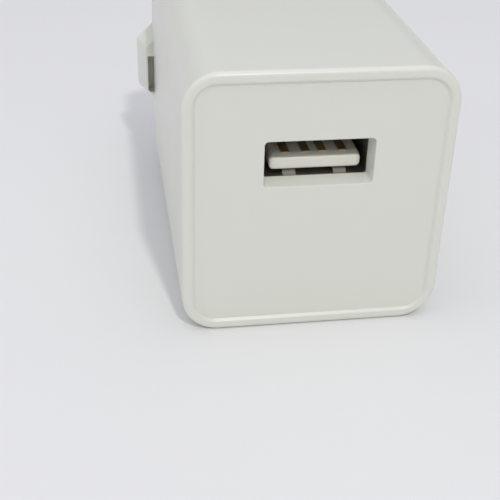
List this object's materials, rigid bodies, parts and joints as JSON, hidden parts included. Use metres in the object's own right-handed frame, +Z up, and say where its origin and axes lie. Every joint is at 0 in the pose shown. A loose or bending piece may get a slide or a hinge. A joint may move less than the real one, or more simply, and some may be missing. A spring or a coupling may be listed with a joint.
{
  "type": "usb wall charger",
  "caption": "Glossy white rounded box that plugs into a mains socket by round pins at its rear, with a USB-A charging socket in its front face and its power supply inside.",
  "frame": {"origin": "middle of the whole box, pins included, in X and Y, at the height of the lower wall", "axes": "+Y runs from the USB face towards the tips of the mains pins, +Z up with the charger lying on its lower wall, +X to the right when looking at the USB face"},
  "size_m": [0.0378, 0.0712, 0.0342],
  "materials": {
    "housing": "gloss white ABS and polycarbonate",
    "nickel": "nickel plated brass",
    "pin_insulation": "satin black moulded sleeve",
    "contact_strip": "tinned spring strip",
    "socket_steel": "nickel plated sheet steel",
    "socket_plastic": "off-white moulded insulator",
    "gold_plate": "gold plated contact",
    "board": "green solder mask on glass-fibre board",
    "ferrite": "dark sintered ferrite",
    "bobbin_plastic": "black phenolic",
    "winding_tape": "yellow polyester tape over copper wire",
    "can_sleeve": "dark shrink sleeve on an aluminium can",
    "choke_sleeve": "green shrink sleeve on a wound core",
    "resistor_coat": "green resistor coating",
    "blue_ceramic": "blue dipped ceramic",
    "brown_ceramic": "brown ceramic",
    "chip_package": "black moulded package",
    "barrier_sheet": "thin insulating sheet"
  },
  "bodies": {
    "root": {"bridge_rectifier": "chip_package", "front_panel": "housing", "fusible_resistor": "resistor_coat", "housing_sleeve": "housing", "input_capacitor_1": "can_sleeve", "input_capacitor_2": "can_sleeve", "input_choke": "choke_sleeve", "insulation_barrier": "barrier_sheet", "main_board": "board", "output_capacitor_1": "can_sleeve", "output_capacitor_2": "can_sleeve", "output_rectifier": "chip_package", "pin_contact_left": "contact_strip", "pin_contact_right": "contact_strip", "pin_sleeve_left": "pin_insulation", "pin_sleeve_right": "pin_insulation", "plug_base": "housing", "plug_pin_left": "nickel", "plug_pin_right": "nickel", "smd_capacitor_1": "brown_ceramic", "smd_capacitor_2": "brown_ceramic", "smd_capacitor_3": "brown_ceramic", "smd_capacitor_4": "brown_ceramic", "smd_resistor_1": "chip_package", "smd_resistor_2": "chip_package", "smd_resistor_3": "chip_package", "smd_resistor_4": "chip_package", "smd_resistor_5": "chip_package", "smd_resistor_6": "chip_package", "snubber_capacitor": "brown_ceramic", "switching_ic": "chip_package", "transformer_bobbin": "bobbin_plastic", "transformer_core": "ferrite", "transformer_winding": "winding_tape", "usb_contact_1": "gold_plate", "usb_contact_2": "gold_plate", "usb_contact_3": "gold_plate", "usb_contact_4": "gold_plate", "usb_insulator": "socket_plastic", "usb_shell": "socket_steel", "y_capacitor": "blue_ceramic"}
  },
  "joints": []
}
